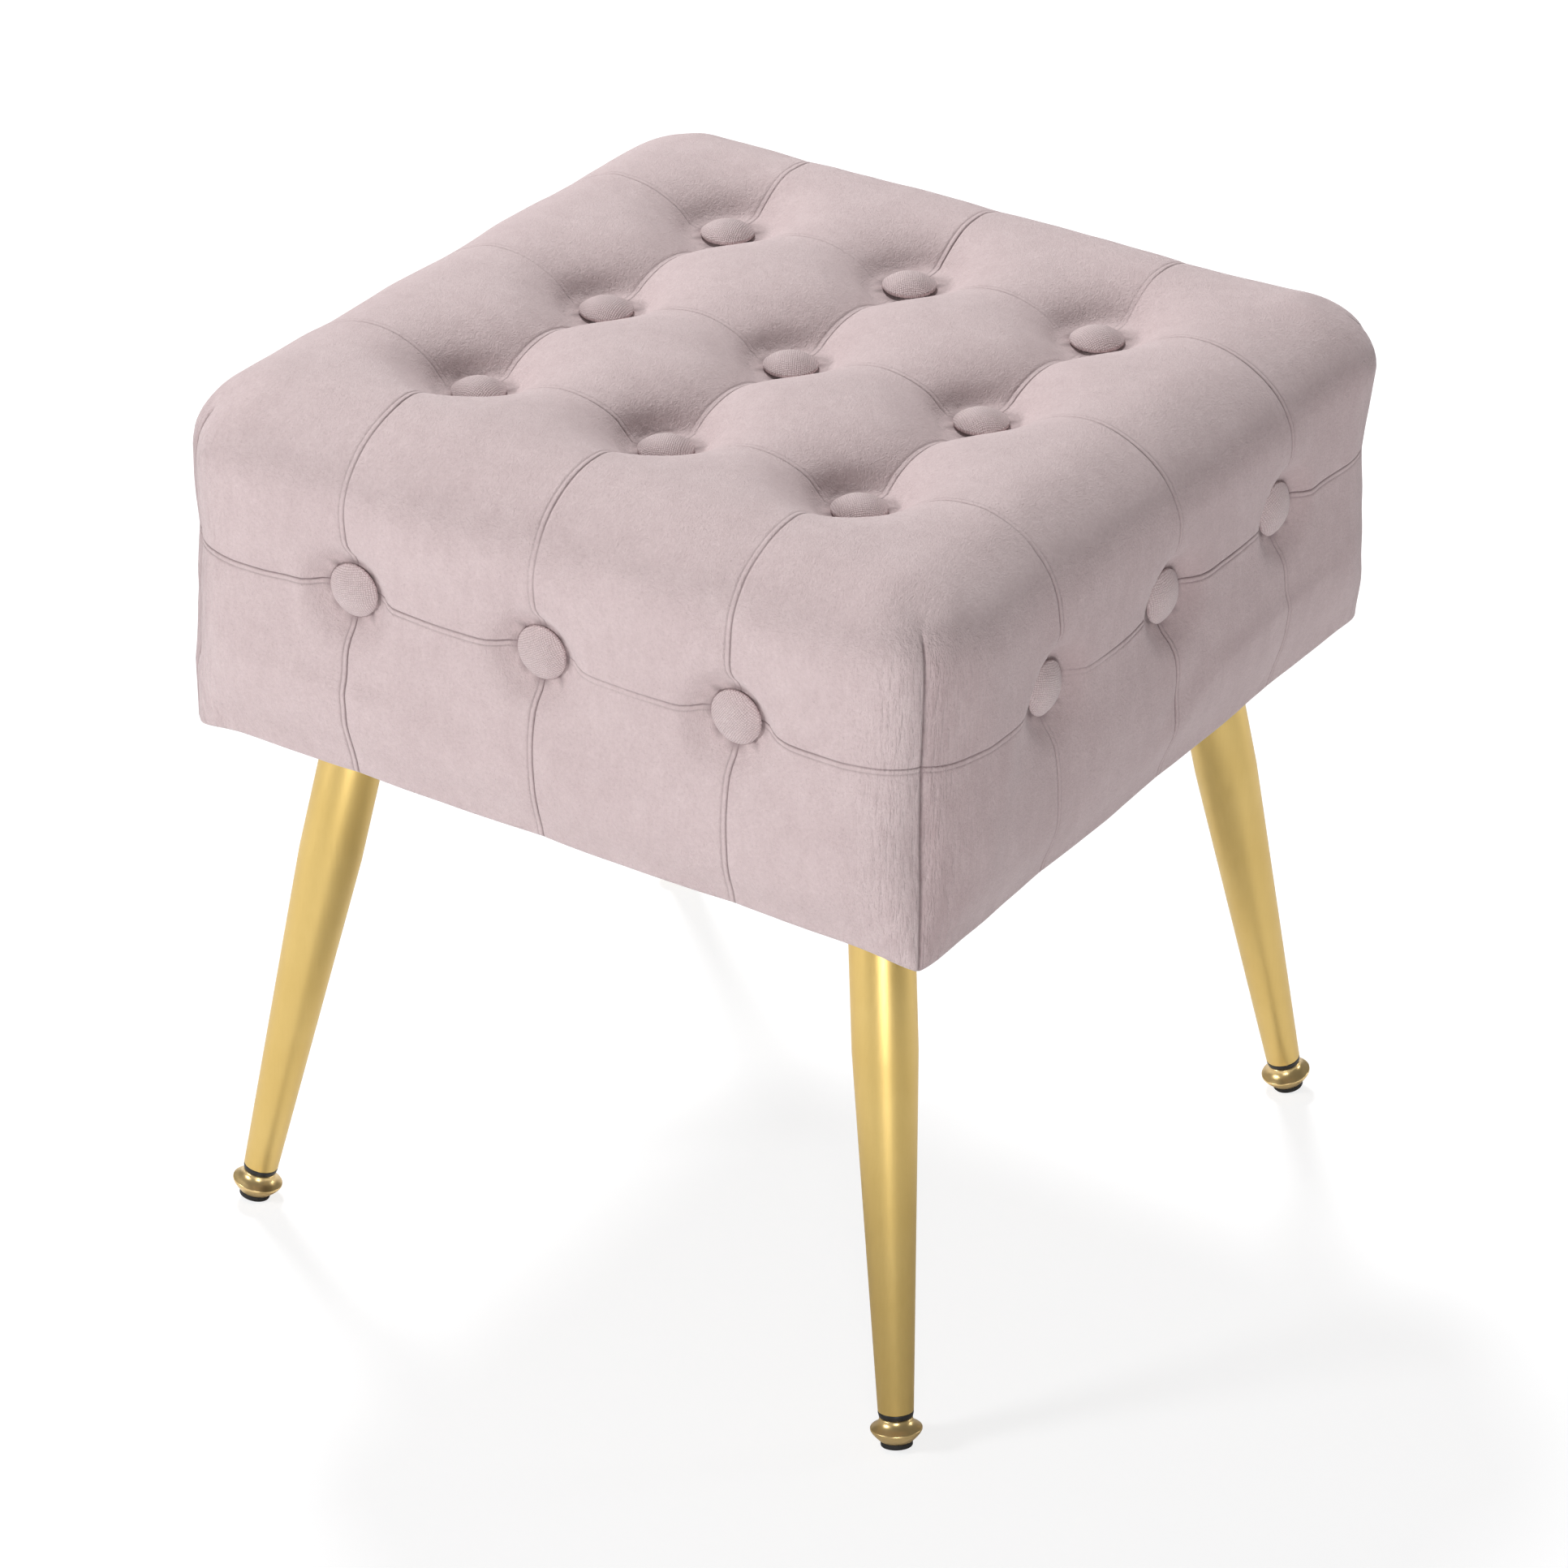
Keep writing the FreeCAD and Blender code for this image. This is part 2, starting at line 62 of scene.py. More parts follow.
# Sizes in millimetres, read from the frame where it has them
cover_low, cover_high = [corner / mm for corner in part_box("tufted_cover")]
seat_half = 200.0
crown_z = cover_high.z
underside_z = cover_low.z
cloth_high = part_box("dust_cloth")[1] / mm
button_low, button_high = [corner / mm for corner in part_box("top_buttons")]
side_low, side_high = [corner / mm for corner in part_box("side_buttons")]

button_diameter = side_high.z - side_low.z
button_height = button_high.z - button_low.z
button_pitch = (button_high.x - button_low.x - button_diameter) / 2
button_seat_z = button_low.z
side_button_z = (side_low.z + side_high.z) / 2
side_button_seat = -side_low.y - button_height

# The cushion's outer form: rounded edges, swollen sides and a hem that is pulled in
edge_round = 38.0
bottom_round = 4.0
side_swell = 8.0
swell_power = 1.5
low_swell = 3.5
low_swell_z = 318.0
low_swell_spread = 28.0
hem_pull = 6.5
hem_pull_top_z = 300.0
corner_square = 3.6
corner_square_start = 0.3
hem_square = 1.6
corner_fade = 1.5
corner_dip = 6.5
corner_dip_top_z = 340.0
hem_inner = cloth_high.x + 1.0
hem_top_z = cloth_high.z

# Its lean, its sagging edges and its full back corner
top_drop = 0.8
top_lean = 2.7
back_sag = 2.8
left_sag = 1.4
sag_run = (90.0, 180.0)
corner_fill = 5.0
corner_fill_width = 34.0
corner_fill_spot = (186.0, 186.0, 420.0)

# The tufts that the buttons draw in
top_dive = 11.0
side_dive = 11.0
dive_width = 19.5
dive_power = 4.0
top_bowl = 14.0
side_bowl = 2.5
bowl_width = 31.0
# width of the painted shade where the cloth meets a button's rim
rim_shade_width = 1.4
cloth_below_button = 1.7
cloth_behind_button = 0.4
dive_stop = 1.5

# The valleys between the buttons, and the stitched creases along them, with painted shade along the
# creases
valley_width = 17.0
valley_power = 1.25
lengthwise_valley = 10.5
crosswise_valley = 4.0
crosswise_width = 26.0
crosswise_power = 1.6
crosswise_boldness = 0.6
edge_valley = 0.7
side_valley = 1.1
valley_fade_start = 12.0
valley_fade_end = 6.0
pleat_half = 1.3
crease_width = 0.33
crease_depth = 0.9
fine_crease_depth = 0.45
fine_crease_shade = 0.45
# how deeply the creases are pressed in and how dark their painted shade is, varying slowly along
# them
crease_strength_middle = 0.85
crease_strength_swing = 0.8
crease_strength_size = 55.0
sway = 0.25
sway_size = 26.0

# The corner seams, with small puckers beside them, drawn as bumps and painted light and shade
seam_depth = 0.9
seam_width = 0.6
seam_top_z = 426.0
seam_fade = 5.0
seam_shade = 0.8
pucker_width = 24.0
pucker_start = 120.0

# Small lumps of the wadding, and the level above which the left and right panels get no painted
# shade
lump_depth = 0.6
lump_size = 47.0
small_lump_size = 19.0
side_shade_top_z = 404.0
side_shade_fade = 4.0

# Run lengths on each side of a pleat, and the widest step between pleats
pleat_steps = (0, 0.6, 0.95, 1.25, 1.6, 2.1, 3.0, 4.5, 6.5, 9.5)
widest_step = 4.0

# The simulation of the cloth under the padding's pressure
cloth_step = 8.0
cloth_frames = 20
cloth_reach = 2.5
cloth_weld = 0.2
held_round_button = 22.0
held_above_hem = 60.0
rounding_shifts = (-0.4, -0.2, 0.0, 0.2, 0.4)
cloth_settings = {
    "quality": 8, "mass": 0.3, "tension_stiffness": 15, "compression_stiffness": 15,
    "shear_stiffness": 5, "bending_stiffness": 0.5, "use_pressure": True,
    "uniform_pressure_force": 4.0, "vertex_group_mass": "held", "air_damping": 6.0,
}

# The buttons
cap_rim_z = 2.2
cap_power = 2.3
fold_count = 31
fold_depth = 0.012
fold_z = 0.9
fold_spread = 1.4
button_sink = 0.2
top_button_turn = 1.7
side_button_turn = 0.37

# Legs and feet
leg_inset = 59.0
leg_splay = radians(12.5)
plate_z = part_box("leg_plate_front_left")[0].z / mm
leg_radius = 15.0
leg_straight = 82.0
leg_end_radius = 8.25
leg_end_wall = 1.2
leg_root = 8.0
leg_turn_in = 8.0
taper_ease = 0.02
plug_collar = 2.8
plug_end_radius = 7.8
plug_reach = 19.0
plug_fit = 0.3
plug_bore_gap = 0.2
plug_bore_depth = 12.0
foot_gap = 0.15
disc_height = 11.4
disc_radius = 12.0
disc_top_radius = 7.7
disc_base_radius = 7.8
disc_lip = 0.5
disc_rim_top = 5.4
disc_rim_low = 6.3
disc_pin_radius = 2.6
disc_pin_depth = 4.0
flare_power = 2.2
cone_power = 1.25
stud_radius = 4.0
stud_reach = 18.0
stud_foot = 5.0
thread_pitch = 1.25
thread_depth = 0.6
thread_run = 4.0
thread_flat = (0.42, 0.58)
pad_radius = 7.4
pad_thickness = 2.7
pad_pin_radius = 2.5
pad_pin_height = 3.8
pad_flat = 0.5
leg_length = (plate_z - pad_radius * sin(leg_splay) + pad_flat) / cos(leg_splay)
tube_length = leg_length - plug_collar - disc_height - pad_thickness - 2 * foot_gap
LEGS = {"front_left": (-1, -1), "front_right": (1, -1), "back_right": (1, 1), "back_left": (-1, 1)}

# The camera, in the frame's millimetres, degrees and the photograph's pixels
photo_pixels = 1932
camera_azimuth = radians(32.615)
camera_elevation = radians(30.024)
camera_roll = radians(0.834)
camera_place = Vector((1405.1, -2196.3, 1708.2))
camera_focal_pixels = 7832.3

# Light
room_light = 0.162
lamp_size = 1.2
lamp_distance = 5.0
lamp_aim_height = 0.35
floor_glow = 0.79


# Finishes

class Wire:
    """A socket that can be used in sums."""

    def __init__(self, finish, socket):
        self.finish = finish
        self.socket = socket

    def maths(self, operation, first, second=0.0):
        return self.finish.node("ShaderNodeMath", {"operation": operation}, {0: first, 1: second})

    def __add__(self, other):
        return self.maths("ADD", self, other)

    def __radd__(self, other):
        return self.maths("ADD", other, self)

    def __sub__(self, other):
        return self.maths("SUBTRACT", self, other)

    def __rsub__(self, other):
        return self.maths("SUBTRACT", other, self)

    def __mul__(self, other):
        return self.maths("MULTIPLY", self, other)

    def __rmul__(self, other):
        return self.maths("MULTIPLY", other, self)

    def __pow__(self, other):
        return self.maths("POWER", self, other)

    def __abs__(self):
        return self.maths("ABSOLUTE", self)

    def sine(self):
        return self.maths("SINE", self)

    def over(self, other):
        """One where this is greater than other, else nought."""
        return self.maths("GREATER_THAN", self, other)


class Finish:
    """A material built from nodes."""

    def __init__(self, name):
        self.material = bpy.data.materials.new(name)
        self.material.use_nodes = True
        self.tree = self.material.node_tree
        self.tree.nodes.clear()
        self.place = self.node("ShaderNodeTexCoord", output="Object")

    def node(self, kind, settings={}, inputs={}, output=0):
        """Add a node: its settings first, then the values or links of its sockets."""
        node = self.tree.nodes.new(kind)
        for name, value in settings.items():
            if name == "stops":
                ramp = node.color_ramp.elements
                while len(ramp) < len(value):
                    ramp.new(0.5)
                for stop, (position, shade) in zip(ramp, value):
                    stop.position = position
                    parts = (shade,) * 3 if isinstance(shade, float) else shade
                    stop.color = (*parts, 1)
            else:
                setattr(node, name, value)
        for name, value in inputs.items():
            if isinstance(value, Wire):
                self.tree.links.new(value.socket, node.inputs[name])
            else:
                node.inputs[name].default_value = value
        return Wire(self, node.outputs[output])

    def noise(self, scale, detail=2.0, roughness=0.5, stretch=(1, 1, 1)):
        place = self.node("ShaderNodeMapping", {}, {"Vector": self.place, "Scale": stretch})
        inputs = {"Vector": place, "Scale": scale, "Detail": detail, "Roughness": roughness}
        return self.node("ShaderNodeTexNoise", {}, inputs)

    def ramp(self, value, *stops):
        return self.node("ShaderNodeValToRGB", {"stops": stops}, {"Fac": value})

    def blend(self, share, first, second):
        """A colour between two others, through the Mix node's colour sockets."""
        pair = [value if isinstance(value, Wire) else (*value, 1) for value in (first, second)]
        inputs = {0: share, 6: pair[0], 7: pair[1]}
        return self.node("ShaderNodeMix", {"data_type": "RGBA"}, inputs, 2)

    def bump(self, height, distance, strength=1.0, normal=None):
        inputs = {"Height": height, "Distance": distance * mm, "Strength": strength}
        if normal:
            inputs["Normal"] = normal
        return self.node("ShaderNodeBump", {}, inputs)

    def attribute(self, name):
        return self.node("ShaderNodeAttribute", {"attribute_name": name}, {}, "Fac")

    def parts(self, place):
        """The first two parts of a place."""
        return [self.node("ShaderNodeSeparateXYZ", {}, {0: place}, part) for part in (0, 1)]

    def surface(self, **inputs):
        """The finished material, from the names of the shader's sockets."""
        values = {}
        for name, value in inputs.items():
            values[name.replace("_", " ").title().replace("Ior", "IOR")] = value
        shader = self.node("ShaderNodeBsdfPrincipled", {}, values)
        output = self.tree.nodes.new("ShaderNodeOutputMaterial")
        self.tree.links.new(shader.socket, output.inputs["Surface"])
        return self.material


def shade(red, green, blue):
    """A colour from its value on screen, as light."""
    return tuple((part / 255) ** 2.2 for part in (red, green, blue))


def velvet(name):
    """Short-pile velvet: cloudy nap and fine grain, with painted shade in its creases, seam grooves
    and round the button rims, painted shade on the left and right panels and painted light and
    shade along the puckers.
    """
    finish = Finish(name)
    clouds = finish.noise(24, 4, 0.62)
    strokes = finish.noise(130, 3, 0.6, (1, 1, 0.5))
    pebbles = finish.noise(620, 2, 0.5)
    grain = finish.noise(1900, 2, 0.6)
    specks = finish.ramp(finish.noise(900, 3, 0.7), (0.0, 1.0), (0.31, 1.0), (0.4, 0.0), (1.0, 0.0))
    streaks = finish.noise(420, 2, 0.6, (1, 1, 0.16))
    # painted light and shade: light and dark streaks along the puckers beside the corner seams,
    # also used for their bumps
    beside_seam = finish.attribute("beside_seam")
    crease = finish.attribute("crease")
    nap_across = finish.attribute("nap_across")
    nap_and_shade = (clouds - 0.5) * 0.4 + (strokes - 0.5) * 0.4
    nap_and_shade = nap_and_shade + (pebbles - 0.5) * 0.5 + (grain - 0.5) * 0.4 + 0.5
    # painted shade: the left and right panels darker below the top's roll, and painted light and
    # shade along the puckers
    nap_and_shade = nap_and_shade - (streaks - 0.5) * beside_seam * 0.9 - nap_across * 0.4
    colour = finish.blend(nap_and_shade, shade(190, 169, 170), shade(226, 208, 208))
    colour = finish.blend(specks * 0.2, colour, shade(140, 118, 120))
    # painted shade: the velvet darkened along the creases, the corner seam grooves and the button
    # rims
    colour = finish.blend(crease * 0.8, colour, shade(104, 84, 86))
    fibres = finish.noise(1500, 2, 0.6, (1, 1, 0.4))
    relief = finish.bump(pebbles * 0.6 + grain * 0.5 + fibres * 0.6 + strokes * 0.2, 0.62, 0.9)
    relief = finish.bump(streaks * beside_seam, 1.6, 1.0, relief)
    return finish.surface(
        base_color=colour, roughness=0.92, sheen_weight=0.3, sheen_roughness=0.4,
        specular_ior_level=0.12, normal=relief,
    )


def woven_velvet(name):
    """The same cloth drawn tight over a button, so that its basket weave shows."""
    finish = Finish(name)
    across, along = finish.parts(finish.node("ShaderNodeUVMap", {"uv_map": "weave"}))
    wander = finish.noise(300, 2, 0.5)
    across = across * 3300.0 + wander * 3.5
    along = along * 3300.0 - wander * 3.5
    knots = abs(across.sine() * along.sine()) ** 0.6
    clouds = finish.noise(60, 3, 0.6)
    grain = finish.noise(1300, 3, 0.7)
    share = (clouds - 0.5) * 0.4 + (grain - 0.5) * 1.3 + knots * 0.7
    colour = finish.blend(share, shade(194, 172, 173), shade(238, 221, 221))
    relief = finish.bump(knots * 0.7 + grain * 0.7, 0.45, 0.9)
    return finish.surface(
        base_color=colour, roughness=0.9, sheen_weight=0.3, sheen_roughness=0.4,
        specular_ior_level=0.15, normal=relief,
    )


def brushed_brass(name):
    """Satin brass plate, brushed along the leg."""
    finish = Finish(name)
    strokes = finish.noise(900, 3, 0.6, (1, 1, 0.03))
    cloud = finish.noise(30, 3, 0.5)
    colour = finish.blend(cloud * 0.6 + strokes * 0.3, shade(222, 188, 110), shade(242, 212, 140))
    relief = finish.bump(strokes, 0.03, 0.5)
    return finish.surface(
        base_color=colour, metallic=0.85, roughness=strokes * 0.16 + 0.34, normal=relief,
    )


def polished_brass(name):
    """Turned and polished brass with faint turning marks."""
    finish = Finish(name)
    marks = finish.noise(1400, 2, 0.6, (0.1, 0.1, 1))
    smudge = finish.noise(120, 3, 0.6)
    colour = finish.blend(smudge, shade(222, 190, 126), shade(240, 212, 156))
    relief = finish.bump(marks, 0.02, 0.5)
    return finish.surface(
        base_color=colour, metallic=0.9, roughness=smudge * 0.14 + 0.26, normal=relief,
    )


def plated_steel(name):
    """Zinc-plated steel, slightly cloudy."""
    finish = Finish(name)
    cloud = finish.noise(300, 4, 0.6)
    colour = finish.blend(cloud, shade(170, 170, 174), shade(206, 206, 208))
    return finish.surface(base_color=colour, metallic=1.0, roughness=cloud * 0.2 + 0.25)


def moulded_black(name, roughness, grain_scale):
    """Black plastic or rubber with a fine moulded grain."""
    finish = Finish(name)
    grain = finish.noise(grain_scale, 2, 0.6)
    colour = finish.blend(grain, shade(20, 20, 21), shade(44, 43, 43))
    relief = finish.bump(grain, 0.05, 0.5)
    return finish.surface(base_color=colour, roughness=grain * 0.15 + roughness, normal=relief)


def pressed_cloth(name):
    """Thin black cloth of bonded fibres, with its pattern of small pressed points."""
    finish = Finish(name)
    across, along = finish.parts(finish.place)
    points = ((across * 2500.0).sine() * (along * 2500.0).sine()).over(0.55)
    fibres = finish.noise(700, 4, 0.7, (1, 0.4, 1))
    colour = finish.blend(fibres, shade(22, 22, 23), shade(52, 51, 50))
    relief = finish.bump(fibres - points * 0.6, 0.12, 0.8)
    return finish.surface(base_color=colour, roughness=0.9, sheen_weight=0.1, normal=relief)


def sawn_wood(name, pale, dark, grain_stretch):
    """Planed softwood or plywood with its grain."""
    finish = Finish(name)
    rings = finish.noise(60, 4, 0.6, grain_stretch)
    pores = finish.noise(600, 2, 0.6, grain_stretch)
    colour = finish.blend(rings * 0.8 + pores * 0.2, pale, dark)
    relief = finish.bump(rings + pores * 0.3, 0.2, 0.5)
    return finish.surface(base_color=colour, roughness=0.75, normal=relief)


def open_foam(name):
    """Pale foam with open cells."""
    finish = Finish(name)
    cells = finish.noise(900, 2, 0.7)
    colour = finish.blend(cells, shade(236, 228, 196), shade(250, 246, 226))
    return finish.surface(base_color=colour, roughness=0.95, normal=finish.bump(cells, 0.5, 0.8))


def waxed_twine(name):
    """Laid twine, stiff with wax."""
    finish = Finish(name)
    twist = finish.noise(1500, 2, 0.6, (1, 1, 0.3))
    colour = finish.blend(twist, shade(196, 184, 156), shade(228, 218, 194))
    return finish.surface(base_color=colour, roughness=0.6, normal=finish.bump(twist, 0.1, 0.6))


finishes = {
    "velvet": velvet("blush_velvet"),
    "button_velvet": woven_velvet("tight_velvet"),
    "foam": open_foam("foam"),
    "plywood": sawn_wood("plywood", shade(222, 196, 150), shade(186, 150, 100), (1, 0.12, 1)),
    "pine": sawn_wood("planed_pine", shade(228, 202, 152), shade(190, 150, 98), (1, 1, 0.15)),
    "black_cloth": pressed_cloth("dust_cloth_black"),
    "zinc_steel": plated_steel("zinc_plate"),
    "twine": waxed_twine("waxed_twine"),
    "brass_finish": brushed_brass("brushed_brass"),
    "polished_brass": polished_brass("polished_brass"),
    "black_plastic": moulded_black("plug_black", 0.35, 900),
    "black_rubber": moulded_black("pad_black", 0.6, 1500),
}
NODE_SLOTS = {
    "seat_foam": "foam", "side_foam": "foam", "deck_board": "plywood", "base_board": "plywood",
    "rail": "pine", "corner_block": "pine", "dust_cloth": "black_cloth",
    "button_backs": "zinc_steel",
    "twine_washers": "zinc_steel", "rail_screws": "zinc_steel", "deck_screws": "zinc_steel",
    "base_screws": "zinc_steel", "leg_plate_screws": "zinc_steel", "cover_staples": "zinc_steel",
    "dust_staples": "zinc_steel", "button_twines": "twine", "leg_plate": "brass_finish",
}


def finish_of(node):
    """The finish of a CAD node, by its name without the side or the leg."""
    for start in sorted(NODE_SLOTS, key=len, reverse=True):
        if node.startswith(start):
            return finishes[NODE_SLOTS[start]]
    return None


def paint_frame():
    """Give every CAD node that shows its own finish."""
    for piece in bpy.data.objects:
        if piece.type == "MESH" and finish_of(piece.name):
            piece.data.materials.clear()
            piece.data.materials.append(finish_of(piece.name))


# Helpers for modelled pieces

def deselect():
    """Leave edit mode with nothing selected."""
    if bpy.context.object and bpy.context.object.mode == "EDIT":
        bpy.ops.object.mode_set(mode="OBJECT")
    bpy.ops.object.select_all(action="DESELECT")


def select_only(*pieces):
    """Select pieces and nothing else, the first of them active."""
    deselect()
    for piece in pieces:
        piece.select_set(True)
    bpy.context.view_layer.objects.active = pieces[0]


def new_piece(name, points, edges, faces):
    """A piece from points in millimetres."""
    mesh = bpy.data.meshes.new(name)
    mesh.from_pydata((np.array(points) * mm).tolist(), edges, faces)
    piece = bpy.data.objects.new(name, mesh)
    bpy.context.collection.objects.link(piece)
    return piece


def close_up(piece, weld=None):
    """Join points nearer than weld, cap the open edges and turn the faces outwards."""
    select_only(piece)
    bpy.ops.object.mode_set(mode="EDIT")
    if weld:
        bpy.ops.mesh.select_all(action="SELECT")
        bpy.ops.mesh.remove_doubles(threshold=weld * mm)
    bpy.ops.mesh.select_all(action="DESELECT")
    bpy.ops.mesh.select_non_manifold()
    bpy.ops.mesh.edge_face_add()
    bpy.ops.mesh.select_all(action="SELECT")
    bpy.ops.mesh.normals_make_consistent(inside=False)
    bpy.ops.object.mode_set(mode="OBJECT")


def drawn_out(name, sides, rings):
    """A round piece about Z: a disc extruded and scaled from ring to ring, then capped."""
    deselect()
    (radius, level), rest = rings[0], rings[1:]
    bpy.ops.mesh.primitive_circle_add(
        vertices=sides, radius=radius * mm, fill_type="NGON", location=(0, 0, level * mm)
    )
    piece = bpy.context.object
    piece.name = piece.data.name = name
    bpy.ops.object.transform_apply()
    bpy.ops.object.mode_set(mode="EDIT")
    bpy.ops.mesh.select_all(action="SELECT")
    for next_radius, next_level in rest:
        bpy.ops.mesh.extrude_region_move(
            TRANSFORM_OT_translate={"value": (0, 0, (next_level - level) * mm)}
        )
        scale = next_radius / radius
        bpy.ops.transform.resize(value=(scale, scale, 1), center_override=(0, 0, next_level * mm))
        radius, level = next_radius, next_level
    bpy.ops.mesh.select_all(action="SELECT")
    bpy.ops.mesh.normals_make_consistent(inside=False)
    bpy.ops.object.mode_set(mode="OBJECT")
    return piece


def soften(piece, width, segments=3, angle=30):
    """Round a piece's hard edges, and shade the rest smooth."""
    bevel = piece.modifiers.new("bevel", "BEVEL")
    bevel.width = width * mm
    bevel.segments = segments
    bevel.limit_method = "ANGLE"
    bevel.angle_limit = radians(angle)
    bpy.context.view_layer.objects.active = piece
    bpy.ops.object.modifier_apply(modifier="bevel")
    smooth(piece)


def smooth(piece, angle=40):
    """Shade a piece smooth, except across edges sharper than an angle."""
    select_only(piece)
    bpy.ops.object.shade_smooth_by_angle(angle=radians(angle))


def copy_to(piece, matrix, name):
    """A copy with its own mesh, moved by a matrix that is applied to it."""
    copy = piece.copy()
    copy.data = piece.data.copy()
    copy.name = copy.data.name = name
    copy.data.transform(matrix)
    bpy.context.collection.objects.link(copy)
    return copy


def join(pieces, name):
    """Make one piece of several."""
    select_only(*pieces)
    bpy.ops.object.join()
    pieces[0].name = pieces[0].data.name = name
    return pieces[0]


def dress(piece, slot, body, *nodes):
    """Give a piece its finish, the nodes that it stands for and the body that it rides on."""
    piece.data.materials.clear()
    piece.data.materials.append(finishes[slot])
    if nodes:
        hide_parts(*nodes)
    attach(piece, body)


# The cushion

core_half = seat_half - edge_round
core_top = crown_z - edge_round
edge_reach = edge_round * pi / 4
half_run = core_half + edge_reach
side_run = edge_reach + core_top - underside_z - bottom_round
button_run = edge_reach + core_top - side_button_z
button_rows = (-1, 0, 1)
pleats = [row * button_pitch for row in button_rows]
button_spots = [
    (Vector((x, y, crown_z)), top_dive, top_bowl) for x in pleats for y in pleats
]
for turns in range(4):
    for x in pleats:
        spot = Vector((x, -seat_half - side_swell, side_button_z))
        button_spots.append((Matrix.Rotation(turns * pi / 2, 3, "Z") @ spot, side_dive, side_bowl))


def rise(value, low, high):
    """Nought below low, one above high, smooth between them."""
    share = np.clip((value - low) / (high - low), 0, 1)
    return share * share * (3 - 2 * share)


def hump(distance, width, power=2):
    """One in the middle, dying away over a width on each side."""
    return np.exp(-((np.abs(distance) / width) ** power))


def slow_noise(places, size, seed=0.0):
    """Smooth noise at many places, as an array."""
    flat = places.reshape(-1, 3) / size + seed
    return np.array([noise.noise(Vector(place)) for place in flat]).reshape(places.shape[:-1])


def side_swelling(level):
    """How far the sides stand out beyond the hem: most below the buttons, least at the hem."""
    belly = low_swell * hump(level - low_swell_z, low_swell_spread)
    return side_swell + belly - hem_pull * (1 - rise(level, underside_z, hem_pull_top_z))


def edge_turn(run):
    """How far the form has turned over its edge at a run length, in radians."""
    return np.clip(np.abs(run) - core_half, 0, None) / edge_round * np.sign(run)


def plain_form(side, p, q):
    """The untufted cushion's points and outward directions, for a face and two run lengths."""
    turn_p = edge_turn(p)
    flat_p = np.clip(p, -core_half, core_half)
    if side == "top":
        way = np.stack([np.tan(turn_p), np.tan(edge_turn(q)), np.ones_like(p)], -1)
        core = np.stack([flat_p, np.clip(q, -core_half, core_half), np.full_like(p, core_top)], -1)
    else:
        turn_q = np.clip(edge_reach - q, 0, None) / edge_round
        level = core_top - np.clip(q - edge_reach, 0, None)
        way = np.stack([np.tan(turn_p), -np.ones_like(p), np.tan(turn_q)], -1)
        core = np.stack([flat_p, np.full_like(p, -core_half), level], -1)
    way /= np.linalg.norm(way, axis=-1, keepdims=True)
    above_hem = rise(core[..., 2], underside_z, corner_dip_top_z)
    across = np.abs(way[..., :2])
    sideways = np.linalg.norm(across, axis=-1)
    square = 2 + (corner_square - 2) * (1 - rise(way[..., 2], corner_square_start, 1.0))
    square += hem_square * (1 - above_hem)
    size = ((across ** square[..., None]).sum(-1) + 1e-12) ** (1 / square)
    stretch = np.where(sideways > 1e-4, sideways / size, 1)
    reach = way * np.stack([stretch, stretch, np.ones_like(stretch)], -1) * edge_round
    most, least = across.max(-1), across.min(-1)
    round_corner = least / np.maximum(most, 1e-6)
    beside_corner = 1 - round_corner ** corner_fade
    swell = side_swelling(core[..., 2]) * sideways ** swell_power * beside_corner
    outward = np.where(across >= most[..., None], np.sign(way[..., :2]), 0)
    reach[..., :2] += outward * swell[..., None]
    reach[..., 2] -= corner_dip * round_corner ** 2 * (sideways > 0.999) * (1 - above_hem)
    return core + reach, way


def away_from_axis(place, spot):
    """How far places are from the line through a button, square to its face."""
    away = place - np.array(spot)
    front_or_back = abs(spot.y) > abs(spot.x) and abs(spot.y) > seat_half
    along = 2 if spot.z > crown_z - 1 else int(front_or_back)
    away[..., along] = np.where(np.abs(away[..., along]) < edge_round, 0, away[..., along])
    return np.linalg.norm(away, axis=-1)


def button_tufts(place):
    """How far the buttons draw padding in, and the painted shade along the line where the cloth
    meets their rims.
    """
    depth = np.zeros(place.shape[:-1])
    rim_shade = np.zeros_like(depth)
    for spot, dive, bowl in button_spots:
        away = np.linalg.norm(place - np.array(spot), axis=-1)
        depth += dive * hump(away, dive_width, dive_power) + bowl * hump(away, bowl_width)
        off_rim = away_from_axis(place, spot) - button_diameter / 2
        rim_shade = np.maximum(rim_shade, hump(off_rim, rim_shade_width))
    return depth, rim_shade


def pleats_over(place, on_top):
    """Each pleat's distance from places, with the depth, width and power of its valley."""
    def top_valley(run, middle_depth):
        inside = 1 - rise(run, button_pitch + valley_fade_start, core_half - valley_fade_end)
        return on_top * (edge_valley + (middle_depth - edge_valley) * inside)

    x, y, z = place[..., 0], place[..., 1], place[..., 2]
    lengthwise = top_valley(np.abs(y), lengthwise_valley)
    crosswise = top_valley(np.abs(x), crosswise_valley)
    lines = [(x - pleat, lengthwise, 1.0, valley_width, valley_power) for pleat in pleats]
    lines += [
        (pleat - y, crosswise, crosswise_boldness, crosswise_width, crosswise_power)
        for pleat in pleats
    ]
    return lines + [(z - side_button_z, 0.0, 1.0, valley_width, valley_power)]


